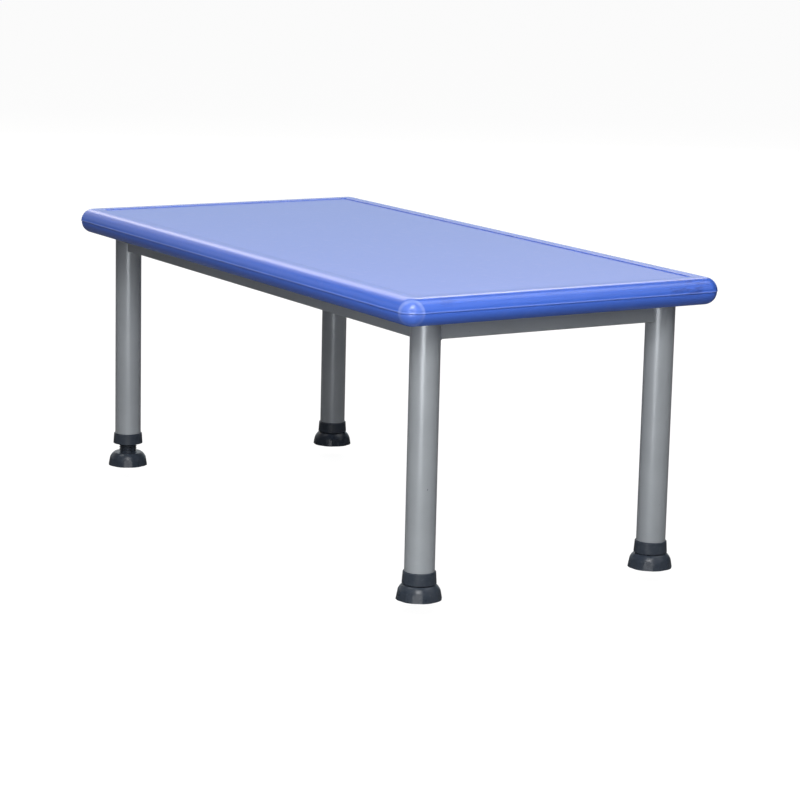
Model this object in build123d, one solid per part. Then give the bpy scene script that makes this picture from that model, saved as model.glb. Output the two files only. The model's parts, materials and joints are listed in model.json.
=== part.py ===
"""Classroom table: a two-shell plastic top on a welded tube frame with levelling feet.

Millimetres.  The origin is on the floor under the middle of the top.  +X runs along
the top, +Y across it and +Z up.  "Front" is the -Y long side and "left" the -X end.
"""

import os
from math import atan2, cos, degrees, pi

from build123d import *

# ---- whole table ----------------------------------------------------------------
TABLE_LENGTH = 1200.0
TABLE_WIDTH = 600.0
TABLE_HEIGHT = 487.0

# ---- top ------------------------------------------------------------------------
TOP_THICKNESS = 44.0
TOP_CORNER_R = 27.0  # corner radius seen from above
SKIN = 4.0  # wall of both shells
SEAM_INSET = 1.2  # the lower shell sits this far inside the upper one
RIM_FLAT = 38.5  # outer edge to the start of the step down to the panel
RIM_SLOPE = 1.2  # width of that step
RIM_DROP = 1.5  # depth of the panel below the rim
PANEL_CORNER_R = 4.0
RIB = 3.0  # thickness of the inner ribs
RIB_ROWS = 4  # ribs along the top
RIB_COLUMNS = 9  # ribs across the top

# ---- frame ----------------------------------------------------------------------
LEG_SPAN_X = 1064.0  # between leg axes
LEG_SPAN_Y = 448.0
LEG_D = 48.3
LEG_WALL = 1.5
LEG_PLATE = 2.0  # disc that closes the top of each leg
SHORT_LEG_CUT = 16.5  # the front left leg is this much shorter than the others
RAIL_WIDTH = 25.0
RAIL_DEPTH = 30.0
RAIL_WALL = 1.5
RAIL_CORNER_R = 2.5
CROSS_RAIL_X = 180.0  # cross rails sit this far each side of the middle

# ---- fixings --------------------------------------------------------------------
TAB_LENGTH = 26.0
TAB_WIDTH = 30.0
TAB_THICKNESS = 3.0
TAB_CORNER_R = 6.0
TAB_HOLE_R = 2.75
TAB_HOLE_AT = 14.5  # rail face to hole centre
LONG_RAIL_TAB_X = 340.0
END_RAIL_TAB_Y = 110.0
SCREW_R = 2.4
SCREW_LENGTH = 15.0
SCREW_HEAD_R = 5.0
SCREW_HEAD_HEIGHT = 3.5
SCREW_SLOT = (5.4, 1.2, 1.8)  # length, width and depth of each bar of the cross recess
INSERT_R = 4.0
INSERT_BORE_R = 2.5
INSERT_LENGTH = 10.0
BOSS_R = 8.0
BOSS_HEIGHT = 17.0

# ---- leg bush -------------------------------------------------------------------
BUSH_HEIGHT = 19.5  # visible collar
BUSH_BOTTOM_R = 27.6
BUSH_TOP_R = 26.3
BUSH_CHAMFER = 1.3
BUSH_FLOOR = 6.0  # plastic under the tube's end
BUSH_SLEEVE = 44.5  # whole height, with the part inside the tube
BUSH_BORE_R = 16.4
FIT_GAP = 0.05  # radial gap of plastic on tube

# ---- levelling foot and pad -----------------------------------------------------
FOOT_HEIGHT = 25.0  # floor to the shoulder's top
FOOT_FLAT_R = 36.2  # centre to flat, at the bottom
FOOT_SHOULDER_FLAT_R = 31.8  # centre to flat, level with the shoulder's top
FOOT_SIDES = 8
BELL_BASE_R = 37.0
BELL_WAIST = (35.4, 10.0)  # radius and height where the bell starts to round over
BELL_ROUND = (32.4, 18.0)  # a point on that round
BELL_TOP_R = 26.0
FOOT_GAP = 1.5  # shoulder to bush with the foot screwed right in
STEM_HEIGHT = 42.5
STEM_CREST_R = 16.3
STEM_ROOT_R = 14.9
THREAD_PITCH = 4.0
THREAD_ROOT_WIDTH = 2.2
THREAD_CREST_WIDTH = 0.9
THREAD_LEAD_IN = 2.4  # plain stem above and below the thread
THREAD_EMBED = 0.4  # depth of the ridge's root inside the stem
STEM_CORE_R = 10.5  # hollow of the stem
STEM_CORE_FLOOR = 13.5
PAD_R = 30.0
PAD_THICKNESS = 3.0
PAD_SHOW = 1.0  # pad below the foot's edge
PAD_GAP = 0.3  # radial gap round the pad and its stud
PAD_STUD_R = 6.0
PAD_STUD_HEIGHT = 8.0

# ---- worked out -----------------------------------------------------------------
UNDERSIDE_Z = TABLE_HEIGHT - TOP_THICKNESS
SEAM_Z = TABLE_HEIGHT - TOP_THICKNESS / 2
EDGE_R = TOP_THICKNESS / 2  # full half-round edge
LEG_X = LEG_SPAN_X / 2
LEG_Y = LEG_SPAN_Y / 2
LEG_R = LEG_D / 2
RAIL_Z = UNDERSIDE_Z - RAIL_DEPTH / 2
BUSH_Z = FOOT_HEIGHT + FOOT_GAP  # bush bottom on a full-length leg

# name, side along X, side along Y, how far the foot is screwed out, foot angle
LEGS = [
    ("front_left", -1, -1, SHORT_LEG_CUT, -2),
    ("front_right", 1, -1, 0.0, 33),
    ("back_left", -1, 1, 0.0, 4),
    ("back_right", 1, 1, 0.0, 27),
]


def round_over_slab(length, width, corner_r, edge_r, height):
    """Slab from z = 0 up to height, with its top edge rounded over by edge_r."""
    blank = extrude(RectangleRounded(length, width, corner_r), 2 * height)
    blank = fillet(blank.faces().sort_by(Axis.Z)[-1].edges(), edge_r)
    blank = Pos(0, 0, -height) * blank
    return blank & Pos(0, 0, height) * Box(2 * length, 2 * width, 2 * height)


def half_top(inset, height):
    """One half of the top's outline, inset all round, standing on z = 0."""
    return round_over_slab(
        TABLE_LENGTH - 2 * inset,
        TABLE_WIDTH - 2 * inset,
        TOP_CORNER_R - inset,
        EDGE_R - inset,
        height,
    )


def rib_grid():
    """Ribs along and across the top, taller than either shell."""
    ribs = []
    for row in range(RIB_ROWS):
        y = TABLE_WIDTH * ((row + 1) / (RIB_ROWS + 1) - 0.5)
        ribs.append(Pos(0, y, 0) * Box(TABLE_LENGTH, RIB, 2 * TOP_THICKNESS))
    for column in range(RIB_COLUMNS):
        x = TABLE_LENGTH * ((column + 1) / (RIB_COLUMNS + 1) - 0.5)
        ribs.append(Pos(x, 0, 0) * Box(RIB, TABLE_WIDTH, 2 * TOP_THICKNESS))
    return ribs


def panel_recess():
    """The shallow tray that the flat panel lies in, with its steep sides."""
    outer = Pos(0, 0, TABLE_HEIGHT) * RectangleRounded(
        TABLE_LENGTH - 2 * RIM_FLAT,
        TABLE_WIDTH - 2 * RIM_FLAT,
        PANEL_CORNER_R + RIM_SLOPE,
    )
    inner = Pos(0, 0, TABLE_HEIGHT - RIM_DROP) * RectangleRounded(
        TABLE_LENGTH - 2 * (RIM_FLAT + RIM_SLOPE),
        TABLE_WIDTH - 2 * (RIM_FLAT + RIM_SLOPE),
        PANEL_CORNER_R,
    )
    return loft([inner, outer], ruled=True)


def upper_shell():
    """Upper half of the top: panel, rim, upper half of the round edge and its ribs."""
    half_height = TABLE_HEIGHT - SEAM_Z
    outside = Pos(0, 0, SEAM_Z) * half_top(0, half_height)
    hollow = Pos(0, 0, SEAM_Z) * half_top(SKIN, half_height - SKIN - RIM_DROP)
    return outside - panel_recess() - (hollow - rib_grid())


def lower_shell(fixings):
    """Lower half of the top, with ribs, and bosses for the inserts."""
    half_height = SEAM_Z - UNDERSIDE_Z
    upside_down = Location((0, 0, SEAM_Z), (180, 0, 0))
    outside = upside_down * half_top(SEAM_INSET, half_height)
    hollow = upside_down * half_top(SEAM_INSET + SKIN, half_height - SKIN)
    screw_places = [place * Pos(TAB_HOLE_AT, 0, 0) for place in fixings]
    boss = Pos(0, 0, UNDERSIDE_Z + BOSS_HEIGHT / 2) * Cylinder(BOSS_R, BOSS_HEIGHT)
    bosses = [place * boss for place in screw_places]
    pocket = from_z(UNDERSIDE_Z, Cylinder(INSERT_R, INSERT_LENGTH))
    pilot = from_z(UNDERSIDE_Z, Cylinder(INSERT_BORE_R, BOSS_HEIGHT - SKIN))
    holes = [place * (pocket + pilot) for place in screw_places]
    return outside - (hollow - rib_grid() - bosses) - holes


def from_z(z, solid):
    """Stand a solid that is centred on the origin on the level z."""
    return Pos(0, 0, z + solid.bounding_box().size.Z / 2) * solid


def ring(outer_r, inner_r, z0, z1):
    """Tube on the Z axis from z0 to z1."""
    height = z1 - z0
    return from_z(z0, Cylinder(outer_r, height) - Cylinder(inner_r, height))


def leg_tube(z0):
    """Leg tube on the Z axis from z0 up to the underside of the top."""
    return ring(LEG_R, LEG_R - LEG_WALL, z0, UNDERSIDE_Z)


def leg_plate():
    """Disc welded inside the top end of a leg."""
    return from_z(UNDERSIDE_Z - LEG_PLATE, Cylinder(LEG_R - LEG_WALL, LEG_PLATE))


def rail_bar(length):
    """Rectangular tube along X, centred on the X axis at rail height."""
    section = RectangleRounded(RAIL_WIDTH, RAIL_DEPTH, RAIL_CORNER_R)
    section -= RectangleRounded(
        RAIL_WIDTH - 2 * RAIL_WALL,
        RAIL_DEPTH - 2 * RAIL_WALL,
        RAIL_CORNER_R - RAIL_WALL,
    )
    bar = extrude(Plane.YZ * section, length / 2, both=True)
    return Pos(0, 0, RAIL_Z) * bar


def leg_to_leg_rail(span):
    """Rail between two leg axes, its ends coped to sit on the tubes."""
    rail = rail_bar(span)
    for side in (-1, 1):
        rail -= Pos(side * span / 2, 0, RAIL_Z) * Cylinder(LEG_R, 2 * RAIL_DEPTH)
    return rail


def fixing_places():
    """Where each tab meets its rail, with local +X pointing in under the top."""
    places = []
    for x_side in (-1, 1):
        for y_side in (-1, 1):
            long_face = y_side * (LEG_Y - RAIL_WIDTH / 2)
            end_face = x_side * (LEG_X - RAIL_WIDTH / 2)
            end_turn = 180 if x_side > 0 else 0
            places.append(Location((x_side * LONG_RAIL_TAB_X, long_face, 0), (0, 0, -90 * y_side)))
            places.append(Location((end_face, y_side * END_RAIL_TAB_Y, 0), (0, 0, end_turn)))
    return places


def fixing_tab():
    """Steel tab welded to a rail, flush with its top, with one screw hole."""
    plate = Pos(TAB_LENGTH / 2, 0, 0) * Box(TAB_LENGTH, TAB_WIDTH, TAB_THICKNESS)
    free_corners = plate.edges().filter_by(Axis.Z).group_by(Axis.X)[-1]
    plate = fillet(free_corners, TAB_CORNER_R)
    plate -= Pos(TAB_HOLE_AT, 0, 0) * Cylinder(TAB_HOLE_R, 2 * TAB_THICKNESS)
    return Pos(0, 0, UNDERSIDE_Z - TAB_THICKNESS / 2) * plate


def fixing_screw():
    """Pan-head screw, head down against the tab, with a cross recess."""
    head_z = UNDERSIDE_Z - TAB_THICKNESS
    head = from_z(head_z - SCREW_HEAD_HEIGHT, Cylinder(SCREW_HEAD_R, SCREW_HEAD_HEIGHT))
    head = fillet(head.faces().sort_by(Axis.Z)[0].edges(), SCREW_HEAD_HEIGHT * 0.6)
    shank = from_z(head_z, Cylinder(SCREW_R, SCREW_LENGTH))
    shank = chamfer(shank.faces().sort_by(Axis.Z)[-1].edges(), SCREW_R / 3)
    screw = head + shank
    for turn in (0, 90):
        screw -= Location((0, 0, head_z - SCREW_HEAD_HEIGHT), (0, 0, turn)) * Box(*SCREW_SLOT)
    return Pos(TAB_HOLE_AT, 0, 0) * screw


def threaded_insert():
    """Brass insert pressed into a boss of the lower shell."""
    insert = ring(INSERT_R, INSERT_BORE_R, UNDERSIDE_Z, UNDERSIDE_Z + INSERT_LENGTH)
    return Pos(TAB_HOLE_AT, 0, 0) * insert


def leg_bush():
    """Collar round the tube's end with a sleeve up inside it, standing on z = 0."""
    profile = Polyline(
        (BUSH_BORE_R, 0),
        (BUSH_BOTTOM_R, 0),
        (BUSH_TOP_R, BUSH_HEIGHT - BUSH_CHAMFER),
        (BUSH_TOP_R - BUSH_CHAMFER, BUSH_HEIGHT),
        (LEG_R + FIT_GAP, BUSH_HEIGHT),
        (LEG_R + FIT_GAP, BUSH_FLOOR),
        (LEG_R - LEG_WALL - FIT_GAP, BUSH_FLOOR),
        (LEG_R - LEG_WALL - FIT_GAP, BUSH_SLEEVE),
        (BUSH_BORE_R, BUSH_SLEEVE),
        close=True,
    )
    return revolve(Plane.XZ * make_face(profile), Axis.Z)


def threaded_stem():
    """Stem with one coarse right-hand thread, standing on the foot's shoulder."""
    core = from_z(0, Cylinder(STEM_ROOT_R, STEM_HEIGHT))
    helix = Helix(THREAD_PITCH, STEM_HEIGHT - 2 * THREAD_LEAD_IN, STEM_ROOT_R)
    across_helix = Plane(helix @ 0, x_dir=(1, 0, 0), z_dir=helix % 0)
    ridge_section = make_face(
        Polyline(
            (-THREAD_EMBED, -THREAD_ROOT_WIDTH / 2),
            (STEM_CREST_R - STEM_ROOT_R, -THREAD_CREST_WIDTH / 2),
            (STEM_CREST_R - STEM_ROOT_R, THREAD_CREST_WIDTH / 2),
            (-THREAD_EMBED, THREAD_ROOT_WIDTH / 2),
            close=True,
        )
    )
    ridge = sweep(across_helix * ridge_section, path=helix, is_frenet=True)
    return Pos(0, 0, FOOT_HEIGHT) * (core + Pos(0, 0, THREAD_LEAD_IN) * ridge)


def foot_body():
    """Bell with a rounded shoulder and eight shallow flats, standing on its bottom edge."""
    corner_r = FOOT_FLAT_R / cos(pi / FOOT_SIDES)
    height = FOOT_HEIGHT - PAD_SHOW
    draft = degrees(atan2(FOOT_FLAT_R - FOOT_SHOULDER_FLAT_R, height))
    block = extrude(RegularPolygon(corner_r, FOOT_SIDES), height, taper=draft)
    outline = [
        Line((0, PAD_SHOW), (BELL_BASE_R, PAD_SHOW)),
        Line((BELL_BASE_R, PAD_SHOW), BELL_WAIST),
        ThreePointArc(BELL_WAIST, BELL_ROUND, (BELL_TOP_R, FOOT_HEIGHT)),
        Line((BELL_TOP_R, FOOT_HEIGHT), (0, FOOT_HEIGHT)),
        Line((0, FOOT_HEIGHT), (0, PAD_SHOW)),
    ]
    bell = revolve(Plane.XZ * make_face(outline), Axis.Z)
    return Pos(0, 0, PAD_SHOW) * block & bell


def levelling_foot():
    """Foot and stem in one piece, hollow from above, with a seat for its pad below."""
    foot = foot_body() + threaded_stem()
    foot -= ring(STEM_CORE_R, 0, STEM_CORE_FLOOR, 2 * FOOT_HEIGHT + STEM_HEIGHT)
    foot -= from_z(0, Cylinder(PAD_R + PAD_GAP, PAD_THICKNESS))
    foot -= from_z(0, Cylinder(PAD_STUD_R + PAD_GAP, PAD_THICKNESS + PAD_STUD_HEIGHT))
    return foot


def foot_pad():
    """Non-slip disc under a foot, with the stud that it turns on."""
    disc = from_z(0, Cylinder(PAD_R, PAD_THICKNESS))
    stud = from_z(0, Cylinder(PAD_STUD_R, PAD_THICKNESS + PAD_STUD_HEIGHT - PAD_GAP))
    return disc + stud


def write(shape, node):
    """Write one sub-part."""
    export_step(shape, f"parts/{node}.step")


def main():
    os.makedirs("parts", exist_ok=True)
    fixings = fixing_places()

    write(upper_shell(), "top_upper_shell")
    write(lower_shell(fixings), "top_lower_shell")
    write(Compound([place * threaded_insert() for place in fixings]), "threaded_inserts")

    long_rail = leg_to_leg_rail(LEG_SPAN_X)
    end_rail = Rot(0, 0, 90) * leg_to_leg_rail(LEG_SPAN_Y)
    cross_rail = Rot(0, 0, 90) * rail_bar(LEG_SPAN_Y - RAIL_WIDTH)
    write(Pos(0, -LEG_Y, 0) * long_rail, "rail_front")
    write(Pos(0, LEG_Y, 0) * long_rail, "rail_back")
    write(Pos(-LEG_X, 0, 0) * end_rail, "rail_left")
    write(Pos(LEG_X, 0, 0) * end_rail, "rail_right")
    write(Pos(-CROSS_RAIL_X, 0, 0) * cross_rail, "cross_rail_left")
    write(Pos(CROSS_RAIL_X, 0, 0) * cross_rail, "cross_rail_right")
    write(Compound([place * fixing_tab() for place in fixings]), "fixing_tabs")
    write(Compound([place * fixing_screw() for place in fixings]), "fixing_screws")

    bush = leg_bush()
    foot = levelling_foot()
    pad = foot_pad()
    plates = []
    for name, x_side, y_side, screwed_out, foot_angle in LEGS:
        at_leg = Pos(x_side * LEG_X, y_side * LEG_Y, 0)
        bush_z = BUSH_Z + screwed_out
        write(at_leg * leg_tube(bush_z + BUSH_FLOOR), f"leg_{name}")
        write(at_leg * Pos(0, 0, bush_z) * bush, f"bush_{name}")
        write(at_leg * Rot(0, 0, foot_angle) * foot, f"foot_{name}")
        write(at_leg * pad, f"pad_{name}")
        plates.append(at_leg * leg_plate())
    write(Compound(plates), "leg_top_plates")


main()
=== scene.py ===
"""Looks of the classroom table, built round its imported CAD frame.

Metres, in the row frame: the feet stand on z = 0, +X runs along the top and +Y across it.
The studio's floor lies a little lower, so that no foot sinks into it when it is screwed out.
"""

import json
from math import asin, cos, pi, radians, sin, sqrt

import bmesh
import bpy
from mathutils import Matrix, Vector


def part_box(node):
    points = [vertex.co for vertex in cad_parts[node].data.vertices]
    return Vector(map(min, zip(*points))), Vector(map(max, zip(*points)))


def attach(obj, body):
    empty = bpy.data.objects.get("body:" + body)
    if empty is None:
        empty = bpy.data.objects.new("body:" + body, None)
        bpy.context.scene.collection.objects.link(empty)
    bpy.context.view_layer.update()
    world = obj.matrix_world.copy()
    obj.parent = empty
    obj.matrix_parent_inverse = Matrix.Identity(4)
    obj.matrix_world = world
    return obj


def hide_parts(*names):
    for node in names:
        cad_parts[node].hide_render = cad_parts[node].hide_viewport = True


MM = 0.001

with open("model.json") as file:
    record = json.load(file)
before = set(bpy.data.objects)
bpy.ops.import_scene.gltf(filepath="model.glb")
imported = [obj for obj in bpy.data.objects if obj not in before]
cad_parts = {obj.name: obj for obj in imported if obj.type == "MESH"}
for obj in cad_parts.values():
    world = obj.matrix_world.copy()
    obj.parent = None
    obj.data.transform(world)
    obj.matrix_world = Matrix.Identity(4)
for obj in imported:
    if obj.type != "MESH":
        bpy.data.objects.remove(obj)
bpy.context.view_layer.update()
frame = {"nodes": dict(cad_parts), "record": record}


# ---- meshes ---------------------------------------------------------------------

SHARP_ANGLE = radians(40)


def mesh_piece(name, mesh, material, sharp_angle=SHARP_ANGLE):
    """A named object for a bmesh, riding on the table's body."""
    bmesh.ops.recalc_face_normals(mesh, faces=mesh.faces)
    data = bpy.data.meshes.new(name)
    mesh.to_mesh(data)
    mesh.free()
    data.materials.append(material)
    data.shade_smooth()
    data.set_sharp_from_angle(angle=sharp_angle)
    piece = bpy.data.objects.new(name, data)
    bpy.context.scene.collection.objects.link(piece)
    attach(piece, "table")
    return piece


def add_rings(mesh, rings):
    """Skin a list of equal rings of points, and close both ends with a face."""
    rows = [[mesh.verts.new(point) for point in ring] for ring in rings]
    count = len(rows[0])
    for low, high in zip(rows, rows[1:]):
        for i in range(count):
            j = (i + 1) % count
            mesh.faces.new((low[i], low[j], high[j], high[i]))
    mesh.faces.new(rows[0])
    mesh.faces.new(rows[-1])


def arc(centre, radius, start, end, steps):
    """Points on an arc in a plane, angles in degrees, both ends included."""
    angles = [radians(start + (end - start) * i / steps) for i in range(steps + 1)]
    return [(centre[0] + radius * cos(a), centre[1] + radius * sin(a)) for a in angles]


# ---- table top ------------------------------------------------------------------

UPPER_LOW, UPPER_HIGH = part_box("top_upper_shell")
LOWER_LOW, LOWER_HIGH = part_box("top_lower_shell")
SEAM_Z = UPPER_LOW.z
EDGE_R = UPPER_HIGH.z - SEAM_Z
CORNER_R = 27 * MM
INNER_CORNER_R = 4 * MM
CORNER_STEPS = 14
EDGE_STEPS = 22
SKIN = 4 * MM
LIP = 0.45 * MM  # how far the upper shell's lip stands out at the seam
LIP_HEIGHT = 1.9 * MM
RIM_FLAT = 38.5 * MM
RIM_STEP = 1.2 * MM  # width of the steep step from the rim down to the panel
RIM_DROP = 1.5 * MM
RIM_ROUND = 0.5 * MM
GROOVE_DEPTH = 0.8 * MM  # moulded line at the foot of that step
GROOVE_WIDTH = 3.0 * MM
SEAM_GAP = 0.2 * MM
LOWER_ROUND = 0.5 * MM  # rounding of the lower shell's edge at the seam
LOWER_START = 2.5  # degrees below the seam where the lower half-round begins
TOP_SHARP_ANGLE = radians(50)
UNDERSIDE_FLAT = 10 * MM  # level strip between the round edge and the underside's one big face


def outline(inset, z):
    """The top's outline at one level, drawn in by an inset, with as many points at every inset."""
    half_x, half_y = UPPER_HIGH.x, UPPER_HIGH.y
    radius = max(CORNER_R - inset, INNER_CORNER_R)
    points = []
    for x_side, y_side, start in ((1, 1, 0), (-1, 1, 90), (-1, -1, 180), (1, -1, 270)):
        centre = (x_side * (half_x - inset - radius), y_side * (half_y - inset - radius))
        for x, y in arc(centre, radius, start, start + 90, CORNER_STEPS):
            points.append((x, y, z))
    return points


def shell_piece(name, node, outside, inside, material):
    """Closed shell from two section lines of (inset, z), each from the seam to the middle.

    The point where the two lines meet belongs to the inner one.
    """
    mesh = bmesh.new()
    section = list(reversed(inside)) + outside
    add_rings(mesh, [outline(inset, z) for inset, z in section])
    piece = mesh_piece(name, mesh, material, TOP_SHARP_ANGLE)
    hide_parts(node)


def upper_section():
    """Lip, half-round edge, rim and the step down to the panel."""
    top_z = UPPER_HIGH.z
    edge = arc((EDGE_R, SEAM_Z), EDGE_R - LIP, 180 - degrees_up(LIP_HEIGHT), 90, EDGE_STEPS)
    edge = [(inset, z + LIP * (z - SEAM_Z) / EDGE_R) for inset, z in edge]
    lip = [
        (0.35 * LIP_HEIGHT, SEAM_Z),
        (0.1 * LIP_HEIGHT, SEAM_Z + 0.08 * LIP_HEIGHT),
        (0.0, SEAM_Z + 0.3 * LIP_HEIGHT),
        (0.0, SEAM_Z + 0.55 * LIP_HEIGHT),
        (0.6 * LIP, SEAM_Z + 0.85 * LIP_HEIGHT),
    ]
    groove_z = top_z - RIM_DROP - GROOVE_DEPTH
    foot = RIM_FLAT + RIM_STEP
    step = [
        (RIM_FLAT - RIM_ROUND, top_z),
        (RIM_FLAT, top_z - 0.2 * RIM_ROUND),
        (RIM_FLAT + 0.25 * RIM_STEP, top_z - 0.7 * RIM_ROUND),
        (foot, groove_z + 0.2 * RIM_ROUND),
        (foot + 0.2 * RIM_ROUND, groove_z),
        (foot + GROOVE_WIDTH, top_z - RIM_DROP),
        (foot + GROOVE_WIDTH + 2 * RIM_ROUND, top_z - RIM_DROP),
    ]
    return lip + edge + step


def degrees_up(height):
    """Angle of the half-round edge at a height above the seam."""
    return asin(height / EDGE_R) * 180 / pi


def shell_inside(inset, z, direction, height):
    """Inner face of a shell: straight up from the seam, then rounded over to flat."""
    radius = EDGE_R - SKIN - inset
    middle = z + direction * (height - radius)
    line = [(SKIN + inset, z)]
    for x, rise in arc((SKIN + inset + radius, 0), radius, 180, 90, EDGE_STEPS // 2):
        line.append((x, middle + direction * rise))
    return line


def lower_section(inset):
    """Lower half-round edge and the flat underside, from the seam down."""
    z = LOWER_HIGH.z - SEAM_GAP
    radius = EDGE_R - inset
    line = [(inset + LOWER_ROUND, z), (inset + 0.2 * LOWER_ROUND, z - 0.8 * LOWER_ROUND)]
    start = 180 + LOWER_START
    for x, level in arc((inset + radius, LOWER_LOW.z + radius), radius, start, 270, EDGE_STEPS):
        line.append((x, level))
    return line + [(inset + radius + UNDERSIDE_FLAT, LOWER_LOW.z)]


def build_top(material):
    """Both shells of the top."""
    upper_inside = shell_inside(0, SEAM_Z, 1, EDGE_R - SKIN - RIM_DROP)
    shell_piece("top_upper", "top_upper_shell", upper_section(), upper_inside, material)
    inset = UPPER_HIGH.x - LOWER_HIGH.x
    lower_inside = shell_inside(inset, LOWER_HIGH.z - SEAM_GAP, -1, EDGE_R - SKIN - SEAM_GAP)
    shell_piece("top_lower", "top_lower_shell", lower_section(inset), lower_inside, material)


# ---- weld beads -----------------------------------------------------------------

BEAD_R = 1.7 * MM
BEAD_SIDES = 8
BEAD_STEP = 1.5 * MM
RIPPLE = 0.16  # share of the bead's radius
RIPPLE_STEPS = 3  # path steps from one ripple to the next
LEGS = [f"leg_{y_side}_{x_side}" for y_side in ("front", "back") for x_side in ("left", "right")]


def walk(corners, step):
    """Points at even steps along a chain of straight lines."""
    points = []
    for start, end in zip(corners, corners[1:]):
        count = max(1, round((end - start).length / step))
        points += [start.lerp(end, i / count) for i in range(count)]
    return points + [corners[-1]]


def add_bead(mesh, path, facing):
    """Rippled round bead along a path that lies roughly square to a direction."""
    rings = []
    for i, point in enumerate(path):
        tangent = (path[min(i + 1, len(path) - 1)] - path[max(i - 1, 0)]).normalized()
        side = facing.cross(tangent).normalized()
        up = tangent.cross(side)
        radius = BEAD_R * (1 - RIPPLE * (i % RIPPLE_STEPS))
        angles = [2 * pi * k / BEAD_SIDES for k in range(BEAD_SIDES)]
        rings.append([point + radius * (cos(a) * side + sin(a) * up) for a in angles])
    add_rings(mesh, rings)


def add_frame_bead(mesh, centre, facing, half_width, low_z, high_z, reach):
    """Bead down one side of a rail's end, under it and up the other side.

    reach(t) is how far the other part's surface lies along the facing direction, at a
    distance t to the side of the rail's middle.
    """
    across = Vector((-facing.y, facing.x, 0))
    corners = [
        (half_width, high_z - BEAD_R),
        (half_width, low_z + BEAD_R),
        (half_width - BEAD_R, low_z),
        (BEAD_R - half_width, low_z),
        (-half_width, low_z + BEAD_R),
        (-half_width, high_z - BEAD_R),
    ]
    flat = walk([Vector((t, z, 0)) for t, z in corners], BEAD_STEP)
    path = [centre + reach(t) * facing + t * across + Vector((0, 0, z)) for t, z, _ in flat]
    add_bead(mesh, path, facing)


def build_welds(material):
    """Beads where the rails meet the legs and the cross rails meet the long rails."""
    mesh = bmesh.new()
    rail_low, rail_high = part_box("rail_front")
    low_z, high_z = rail_low.z, rail_high.z
    half_width = (rail_high.y - rail_low.y) / 2
    for leg in LEGS:
        low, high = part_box(leg)
        centre = Vector(((low.x + high.x) / 2, (low.y + high.y) / 2, 0))
        leg_r = (high.x - low.x) / 2
        for facing in (Vector((-centre.x, 0, 0)), Vector((0, -centre.y, 0))):
            add_frame_bead(
                mesh, centre, facing.normalized(), half_width, low_z, high_z,
                lambda t: sqrt(leg_r**2 - t**2),
            )
    for x_side in ("left", "right"):
        low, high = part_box(f"cross_rail_{x_side}")
        for y, facing in ((low.y, Vector((0, 1, 0))), (high.y, Vector((0, -1, 0)))):
            centre = Vector(((low.x + high.x) / 2, y, 0))
            add_frame_bead(mesh, centre, facing, half_width, low_z, high_z, lambda t: 0.0)
    mesh_piece("weld_beads", mesh, material)


# ---- materials ------------------------------------------------------------------

# a mix node's sockets for colours; its other sockets have the same names
MIX_FACTOR, MIX_FIRST, MIX_SECOND, MIX_RESULT = 0, 6, 7, 2


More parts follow.
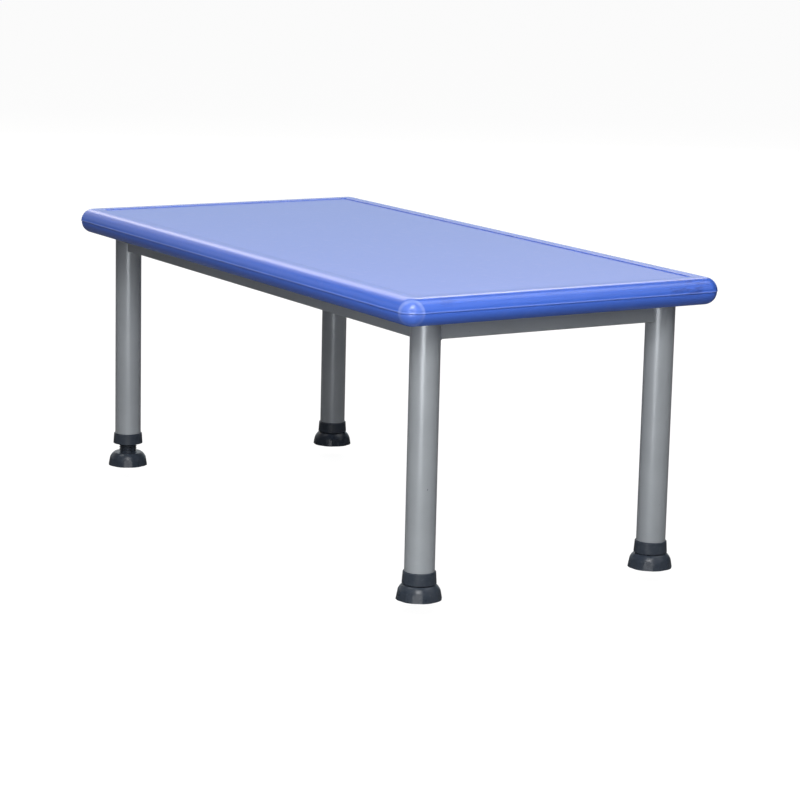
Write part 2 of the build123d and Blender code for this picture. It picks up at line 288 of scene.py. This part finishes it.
class Tree:
    """A material's nodes, with short calls to add and join them."""

    def __init__(self, name):
        self.material = bpy.data.materials.new(name)
        self.material.use_nodes = True
        self.tree = self.material.node_tree
        self.shader = self.tree.nodes["Principled BSDF"]
        self.place = self.add("ShaderNodeTexCoord").outputs["Object"]

    def add(self, kind, settings=None, **inputs):
        """A node with its settings and inputs set; an underscore stands for a space."""
        node = self.tree.nodes.new(kind)
        for key, value in (settings or {}).items():
            setattr(node, key, value)
        for key, value in inputs.items():
            self.put(node.inputs[key.replace("_", " ")], value)
        return node

    def put(self, socket, value):
        """Join a socket to an output, or set its own value."""
        if isinstance(value, bpy.types.NodeSocket):
            self.tree.links.new(value, socket)
        else:
            socket.default_value = value

    def noise(self, scale, detail=3.0, rough=0.55, stretch=None):
        """Noise value over the object, with features of about 1/scale metres."""
        place = self.place
        if stretch:
            place = self.add("ShaderNodeMapping", Vector=place, Scale=stretch).outputs["Vector"]
        node = self.add(
            "ShaderNodeTexNoise", Vector=place, Scale=scale, Detail=detail, Roughness=rough
        )
        return node.outputs["Fac"]

    def remap(self, value, low, high, to_low, to_high):
        """Smooth step from one level to another while a value runs from low to high."""
        node = self.add("ShaderNodeMapRange", {"interpolation_type": "SMOOTHSTEP"}, Value=value)
        for index, number in enumerate((low, high, to_low, to_high), start=1):
            node.inputs[index].default_value = number
        return node.outputs["Result"]

    def band(self, axis, low, high, soft):
        """1 where a coordinate lies between two levels, fading to 0 outside them."""
        place = self.add("ShaderNodeSeparateXYZ", Vector=self.place).outputs[axis]
        rise = self.remap(place, low - soft, low, 0, 1)
        fall = self.remap(place, high, high + soft, 1, 0)
        return self.maths("MULTIPLY", rise, fall)

    def box(self, low, high, soft):
        """1 inside a box of places, fading to 0 outside it."""
        sides = [self.band(axis, low[i], high[i], soft) for i, axis in enumerate("XYZ")]
        return self.maths("MULTIPLY", self.maths("MULTIPLY", sides[0], sides[1]), sides[2])

    def vector_maths(self, operation, first, second, output="Vector"):
        """A vector maths node's result; either input may be a plain vector."""
        node = self.add("ShaderNodeVectorMath", {"operation": operation})
        self.put(node.inputs[0], first)
        self.put(node.inputs[1], second)
        return node.outputs[output]

    def corner_highlight(self):
        """Painted highlight: a soft-edged disc on the front right corner, palest at its rim and
        above its centre.
        """
        off = self.vector_maths("SUBTRACT", self.place, HIGHLIGHT_CENTRE)
        along = self.vector_maths("DOT_PRODUCT", off, HIGHLIGHT_AXIS, "Value")
        arm = self.vector_maths("CROSS_PRODUCT", off, HIGHLIGHT_AXIS)
        length = self.add("ShaderNodeVectorMath", {"operation": "LENGTH"}, Vector=arm)
        away = length.outputs["Value"]
        inner_r, outer_r = HIGHLIGHT_R - HIGHLIGHT_EDGE, HIGHLIGHT_R + HIGHLIGHT_EDGE
        inner = self.remap(away, HIGHLIGHT_R - HIGHLIGHT_FADE, inner_r, HIGHLIGHT_MIDDLE, 1)
        outer = self.remap(away, inner_r, outer_r, 1, 0)
        height = self.add("ShaderNodeSeparateXYZ", Vector=off).outputs["Z"]
        upper = self.remap(height, *HIGHLIGHT_RISE, HIGHLIGHT_LOWER, 1)
        facing = self.remap(along, 0, HIGHLIGHT_DEPTH, 0, 1)
        disc = self.maths("MULTIPLY", inner, outer)
        return self.maths("MULTIPLY", self.maths("MULTIPLY", disc, upper), facing)

    def maths(self, operation, first, second):
        """A maths node's result; either input may be a plain number."""
        node = self.add("ShaderNodeMath", {"operation": operation})
        self.put(node.inputs[0], first)
        self.put(node.inputs[1], second)
        return node.outputs["Value"]

    def mix(self, factor, first, second):
        """The first colour, going over to the second as the factor goes from 0 to 1."""
        node = self.add("ShaderNodeMix", {"data_type": "RGBA"})
        self.put(node.inputs[MIX_FACTOR], factor)
        self.put(node.inputs[MIX_FIRST], first)
        self.put(node.inputs[MIX_SECOND], second)
        return node.outputs[MIX_RESULT]

    def bump(self, height, distance, normal=None):
        """Raise the surface by a height map, on top of another bump if one is given."""
        node = self.add("ShaderNodeBump", Height=height, Distance=distance, Strength=1.0)
        if normal:
            self.put(node.inputs["Normal"], normal)
        return node.outputs["Normal"]

    def finish(self, colour, roughness, normal, **constants):
        """Join the shader's inputs up, set its uniform values and give the material."""
        self.put(self.shader.inputs["Base Color"], colour)
        self.put(self.shader.inputs["Roughness"], roughness)
        self.put(self.shader.inputs["Normal"], normal)
        for key, value in constants.items():
            self.shader.inputs[key.replace("_", " ")].default_value = value
        return self.material


def rgb(red, green, blue):
    """Linear colour from 0-255 display values."""
    return tuple(
        v / 12.92 if v <= 0.04045 else ((v + 0.055) / 1.055) ** 2.4
        for v in (red / 255, green / 255, blue / 255)
    ) + (1.0,)


# the painted highlight, a disc on the round of the front right corner; its axis is level
HIGHLIGHT_CENTRE = (UPPER_HIGH.x - 23 * MM, UPPER_LOW.y + 22.5 * MM, SEAM_Z)
HIGHLIGHT_AXIS = (0.857, -0.515, 0.0)
HIGHLIGHT_R = 20.5 * MM
HIGHLIGHT_EDGE = 1.5 * MM  # half the width of the rim's outer fade
HIGHLIGHT_FADE = 6 * MM  # from the rim in to the evenly scuffed middle
HIGHLIGHT_RISE = (-8 * MM, 4 * MM)  # heights over the centre where it starts and ends to fade in
HIGHLIGHT_DEPTH = 8 * MM  # along the axis, from the centre out to full strength
HIGHLIGHT_MIDDLE = 0.35  # strength inside the rim
HIGHLIGHT_LOWER = 0.3  # strength below the centre
# patches of dirt on the right end's round edge: reach in from the end, from and to across the
# table, from and to above the seam, strength
SMUDGES = (
    (14 * MM, 200 * MM, 250 * MM, 6 * MM, 18 * MM, 0.5),
    (20 * MM, -230 * MM, -220 * MM, 14 * MM, 19 * MM, 0.15),
)
SMUDGE_FADE = 12 * MM


def top_plastic():
    """Royal blue polyethylene: faint waves, dust, a painted highlight along the seam lip, two
    smudges and a painted highlight disc on the front right corner.
    """
    t = Tree("top_plastic")
    waves = t.noise(4, detail=1)
    streaks = t.remap(t.noise(70, detail=5, stretch=(0.4, 0.4, 2.0)), 0.42, 0.62, 0, 1)
    dust = t.remap(t.noise(60, detail=4), 0.5, 0.8, 0, 1)
    colour = t.mix(waves, rgb(67, 106, 208), rgb(69, 109, 210))
    for reach, low_y, high_y, low_z, high_z, strength in SMUDGES:
        low = (UPPER_HIGH.x - reach, low_y, SEAM_Z + low_z)
        high = (UPPER_HIGH.x, high_y, SEAM_Z + high_z)
        dirt = t.maths("MULTIPLY", streaks, strength)
        mask = t.maths("MULTIPLY", t.box(low, high, SMUDGE_FADE), dirt)
        colour = t.mix(mask, colour, rgb(44, 50, 110))
    colour = t.mix(t.maths("MULTIPLY", dust, 0.08), colour, rgb(120, 140, 215))
    # painted highlight along the seam lip, a pale band over the lip's height
    seam_highlight = t.maths("MULTIPLY", t.band("Z", SEAM_Z, SEAM_Z + LIP_HEIGHT, 0.4 * MM), 0.30)
    colour = t.mix(seam_highlight, colour, rgb(140, 158, 226))
    # painted highlight on the round of the front right corner
    colour = t.mix(t.maths("MULTIPLY", t.corner_highlight(), 0.3), colour, rgb(190, 205, 245))
    normal = t.bump(waves, 0.06 * MM)
    return t.finish(colour, 0.27, normal, Specular_IOR_Level=0.5)


def frame_paint():
    """Mid-grey powder coat with a fine orange peel and a few dark specks."""
    t = Tree("frame_paint")
    peel = t.noise(420, detail=2)
    cloud = t.noise(9, detail=4)
    speck = t.remap(t.noise(170, detail=1), 0.80, 0.84, 0, 1)
    colour = t.mix(t.remap(cloud, 0.3, 0.7, 0, 1), rgb(157, 162, 167), rgb(164, 169, 174))
    colour = t.mix(t.maths("MULTIPLY", speck, 0.6), colour, rgb(60, 62, 64))
    rough = t.remap(cloud, 0.3, 0.7, 0.30, 0.34)
    normal = t.bump(peel, 0.03 * MM)
    return t.finish(colour, rough, normal, Metallic=0.25)


def charcoal_plastic(name, gloss):
    """Charcoal moulded plastic with flow marks and a dusty, handled surface."""
    t = Tree(name)
    cloud = t.noise(45, detail=5)
    grain = t.noise(1300, detail=2)
    dust = t.remap(t.noise(160, detail=6, rough=0.7), 0.55, 0.75, 0, 1)
    colour = t.mix(t.remap(cloud, 0.3, 0.7, 0, 1), rgb(45, 52, 62), rgb(54, 60, 69))
    colour = t.mix(t.maths("MULTIPLY", dust, 0.35), colour, rgb(92, 95, 100))
    smooth = t.remap(cloud, 0.3, 0.7, gloss, gloss + 0.08)
    rough = t.maths("ADD", smooth, t.maths("MULTIPLY", dust, 0.2))
    normal = t.bump(cloud, 0.12 * MM)
    normal = t.bump(grain, 0.03 * MM, normal=normal)
    return t.finish(colour, rough, normal, Specular_IOR_Level=0.28)


def pad_rubber():
    """Matt black rubber, worn grey where it meets the floor."""
    t = Tree("pad_rubber")
    wear = t.remap(t.noise(120, detail=5), 0.4, 0.7, 0, 1)
    colour = t.mix(wear, rgb(30, 30, 31), rgb(62, 62, 62))
    normal = t.bump(t.noise(900, detail=2), 0.06 * MM)
    return t.finish(colour, t.remap(wear, 0, 1, 0.7, 0.85), normal)


def plated_metal(name, base, tint, roughness):
    """Plated or turned metal with a brushed bump and stained patches."""
    t = Tree(name)
    stain = t.remap(t.noise(300, detail=4), 0.35, 0.7, 0, 1)
    colour = t.mix(stain, base, tint)
    normal = t.bump(t.noise(3000, detail=1), 0.01 * MM)
    return t.finish(colour, t.remap(stain, 0, 1, roughness, roughness + 0.12), normal, Metallic=1.0)


def dress_cad_nodes(materials):
    """Give every CAD node the material of its slot in the record."""
    for row in frame["record"]["subparts"]:
        node = frame["nodes"][row["node"]]
        node.data.materials.clear()
        node.data.materials.append(materials[row["material_slot"]])


# ---- studio ---------------------------------------------------------------------

# the camera's angles are in degrees
CAMERA_PLACE = (3.8993, -2.3159, 1.0987)
CAMERA_AZIMUTH = 58.68
CAMERA_PITCH = 11.16
CAMERA_ROLL = 1.361
CAMERA_LENS = 117.71  # millimetres on a 36 mm sensor
CAMERA_REACH = 200.0  # past the far edge of the floor
FLOOR_SIZE = 120.0
FLOOR_DEPTH = 21 * MM  # clears the feet when they are screwed right out
LIGHT_TARGET = Vector((0, 0, 0.4))

# name, azimuth and elevation in degrees, width, height, light it gives a facing surface,
# distance, colour
WHITE = (1.0, 1.0, 1.0)
WARM = (1.0, 0.93, 0.88)
SKY = (0.81, 0.96, 1.05)
SOFTBOXES = (
    ("front_high", 59, 50, 2.5, 2.5, 0.40, 7.0, WHITE),
    ("front_middle", 57, 35, 1.2, 0.8, 0.34, 3.2, WHITE),
    ("front_strip", 70, 18, 0.7, 2.4, 0.12, 7.0, WHITE),
    ("left_strip", 40, 18, 0.5, 2.4, 0.08, 7.0, WHITE),
    ("front_low", 51, -2, 0.7, 0.4, 0.175, 2.2, WHITE),
    ("left", 329, 60, 1.8, 1.8, 0.12, 7.0, WHITE),
    ("right", 158, 57, 3.4, 3.0, 0.20, 7.0, WHITE),
    ("right_side", 128, 30, 3.0, 3.0, 0.06, 7.0, WHITE),
    ("back", 242, 30, 5.8, 3.0, 0.31, 7.0, WARM),
    ("back_hot", 230, 36, 1.2, 1.2, 0.05, 7.0, WARM),
    ("back_left", 272, 28, 3.4, 3.0, 0.08, 7.0, WARM),
    ("back_side", 298, 14, 2.6, 2.4, 0.03, 7.0, WHITE),
    ("back_low", 240, 8, 12.0, 2.0, 0.12, 7.0, SKY),
)
ROOM = 0.01  # light from everywhere else
FLOOR_BOUNCE = 0.14  # share of light that the floor throws back at the table
FLOOR_GLOW = 0.96  # the lit backdrop that the camera sees
FLOOR_GREY = rgb(72, 72, 72)  # the floor's own colour under that glow


def add_camera():
    """The scene's camera, without shift or depth of field."""
    data = bpy.data.cameras.new("camera")
    data.lens = CAMERA_LENS
    data.clip_end = CAMERA_REACH
    camera = bpy.data.objects.new("camera", data)
    turn = (
        Matrix.Rotation(radians(CAMERA_AZIMUTH), 4, "Z")
        @ Matrix.Rotation(radians(90 - CAMERA_PITCH), 4, "X")
        @ Matrix.Rotation(radians(CAMERA_ROLL), 4, "Z")
    )
    camera.matrix_world = Matrix.Translation(CAMERA_PLACE) @ turn
    bpy.context.scene.collection.objects.link(camera)
    bpy.context.scene.camera = camera


def direction(azimuth, elevation):
    """Unit vector towards an azimuth; azimuth 0 is the -Y side and 90 the +X side."""
    a, e = radians(azimuth), radians(elevation)
    return Vector((sin(a) * cos(e), -cos(a) * cos(e), sin(e)))


def add_softbox(name, azimuth, elevation, width, height, strength, distance, colour):
    """Area light that looks at the table."""
    data = bpy.data.lights.new(name, "AREA")
    data.shape = "RECTANGLE"
    data.size = width
    data.size_y = height
    data.energy = strength * (pi * distance) ** 2
    data.color = colour
    light = bpy.data.objects.new(name, data)
    away = direction(azimuth, elevation)
    light.location = LIGHT_TARGET + distance * away
    light.rotation_mode = "QUATERNION"
    light.rotation_quaternion = away.to_track_quat("Z", "Y")
    light.visible_camera = False
    bpy.context.scene.collection.objects.link(light)


def add_world():
    """Dim room round the softboxes, white where the camera looks past the floor."""
    world = bpy.data.worlds.new("studio")
    world.use_nodes = True
    nodes, links = world.node_tree.nodes, world.node_tree.links
    background = nodes["Background"]
    background.inputs["Color"].default_value = (1, 1, 1, 1)
    seen = nodes.new("ShaderNodeLightPath").outputs["Is Camera Ray"]
    level = nodes.new("ShaderNodeMapRange")
    links.new(seen, level.inputs["Value"])
    level.inputs["To Min"].default_value = ROOM
    level.inputs["To Max"].default_value = FLOOR_GLOW
    links.new(level.outputs["Result"], background.inputs["Strength"])
    bpy.context.scene.world = world


def add_floor():
    """White floor, lit evenly for the camera, dimmer to the table and clear from below."""
    mesh = bmesh.new()
    bmesh.ops.create_grid(mesh, x_segments=1, y_segments=1, size=FLOOR_SIZE / 2)
    data = bpy.data.meshes.new("floor")
    mesh.to_mesh(data)
    mesh.free()
    t = Tree("floor_paint")
    seen = t.add("ShaderNodeLightPath").outputs["Is Camera Ray"]
    bounce = (FLOOR_BOUNCE, FLOOR_BOUNCE, FLOOR_BOUNCE, 1)
    normal = t.bump(t.noise(30, detail=2), 0.1 * MM)
    t.put(t.shader.inputs["Emission Color"], (1, 1, 1, 1))
    t.put(t.shader.inputs["Emission Strength"], t.maths("MULTIPLY", seen, FLOOR_GLOW))
    t.finish(t.mix(seen, bounce, FLOOR_GREY), 0.9, normal)
    below = t.add("ShaderNodeNewGeometry").outputs["Backfacing"]
    sides = t.add("ShaderNodeMixShader", Fac=below)
    t.put(sides.inputs[1], t.shader.outputs["BSDF"])
    t.put(sides.inputs[2], t.add("ShaderNodeBsdfTransparent").outputs["BSDF"])
    t.put(t.tree.nodes["Material Output"].inputs["Surface"], sides.outputs["Shader"])
    data.materials.append(t.material)
    floor = bpy.data.objects.new("floor", data)
    floor.location.z = -FLOOR_DEPTH
    bpy.context.scene.collection.objects.link(floor)


# ---- everything -----------------------------------------------------------------

bpy.context.scene.view_settings.view_transform = "Standard"
add_camera()
add_world()
for softbox in SOFTBOXES:
    add_softbox(*softbox)
add_floor()

materials = {
    "top_plastic": top_plastic(),
    "frame_paint": frame_paint(),
    "bush_plastic": charcoal_plastic("bush_plastic", 0.38),
    "foot_plastic": charcoal_plastic("foot_plastic", 0.26),
    "pad_rubber": pad_rubber(),
    "screw_steel": plated_metal("screw_steel", rgb(190, 192, 196), rgb(150, 152, 150), 0.25),
    "brass_insert": plated_metal("brass_insert", rgb(205, 170, 95), rgb(170, 135, 75), 0.3),
}
dress_cad_nodes(materials)
build_top(materials["top_plastic"])
build_welds(materials["frame_paint"])
